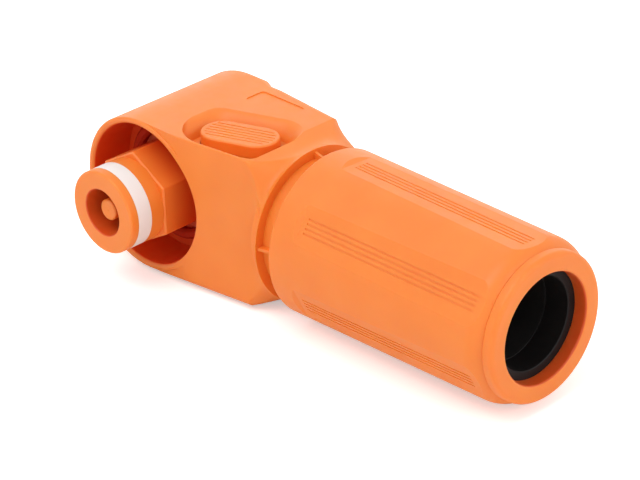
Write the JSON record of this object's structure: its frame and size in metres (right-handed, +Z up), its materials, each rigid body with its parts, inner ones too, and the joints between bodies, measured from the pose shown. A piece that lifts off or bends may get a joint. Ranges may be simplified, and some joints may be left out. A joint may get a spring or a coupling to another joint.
{
  "type": "dc power connector",
  "caption": "Right-angle power plug: swivelling hexagonal socket nose in a round hood, press button on top, long grooved gland nut for the cable.",
  "frame": {"origin": "where the mating axis crosses the cable axis", "axes": "+X along the cable axis towards the cable, -Y along the mating axis out of the nose, +Z up through the button"},
  "size_m": [0.1017, 0.039, 0.0314],
  "materials": {
    "orange_polyamide": "moulded satin",
    "white_polyamide": "moulded matte",
    "black_polyamide": "moulded matte",
    "black_silicone": "soft matte",
    "orange_silicone": "soft matte",
    "silvered_copper": "silver plated",
    "tinned_copper": "tin plated",
    "stainless_steel": "plain",
    "spring_steel": "plain"
  },
  "bodies": {
    "housing": {"housing": "orange_polyamide", "rear_cover": "orange_polyamide", "cover_seal": "black_silicone", "contact_carrier": "black_polyamide", "carrier_screws": "stainless_steel", "contact_body": "silvered_copper", "contact_cage": "silvered_copper", "touch_post": "orange_polyamide", "terminal": "tinned_copper", "flat_washer": "stainless_steel", "lock_washer": "stainless_steel", "lug_nut": "stainless_steel", "interface_seal": "orange_silicone", "neck_seal": "black_silicone", "cable_seal": "black_silicone", "clamp_cage": "black_polyamide", "button_spring": "spring_steel"},
    "nose": {"nose_body": "orange_polyamide", "colour_ring": "white_polyamide", "nose_cap": "orange_polyamide", "nose_clip": "stainless_steel"},
    "button": {"release_button": "orange_polyamide"},
    "bolt": {"latch_bolt": "stainless_steel"},
    "ring": {"thrust_ring": "black_polyamide"},
    "nut": {"gland_nut": "orange_polyamide"}
  },
  "joints": [
    {"name": "nose_swivel", "type": "hinge", "parent": "housing", "child": "nose", "pos_m": [0, 0, 0], "axis": [0, -1, 0], "continuous": true},
    {"name": "button_press", "type": "slide", "parent": "housing", "child": "button", "axis": [0, 0, -1], "range_m": [0, 0.0014], "stiffness_N_per_m": 1500, "springref_m": -0.002, "deforming": ["button_spring"]},
    {"name": "bolt_slide", "type": "slide", "parent": "housing", "child": "bolt", "axis": [0.9379, 0.3469, 0], "range_m": [0, 0.00135]},
    {"name": "nut_travel", "type": "slide", "parent": "housing", "child": "ring", "axis": [1, 0, 0], "range_m": [0, 0.01602]},
    {"name": "nut_turn", "type": "hinge", "parent": "ring", "child": "nut", "pos_m": [0, 0, 0], "axis": [1, 0, 0], "range_deg": [0, 2880]}
  ],
  "couplings": [
    {"joint": "bolt_slide", "follows": "button_press", "ratio": 0.95},
    {"joint": "nut_travel", "follows": "nut_turn", "m_per_rad": 0.00031831}
  ]
}
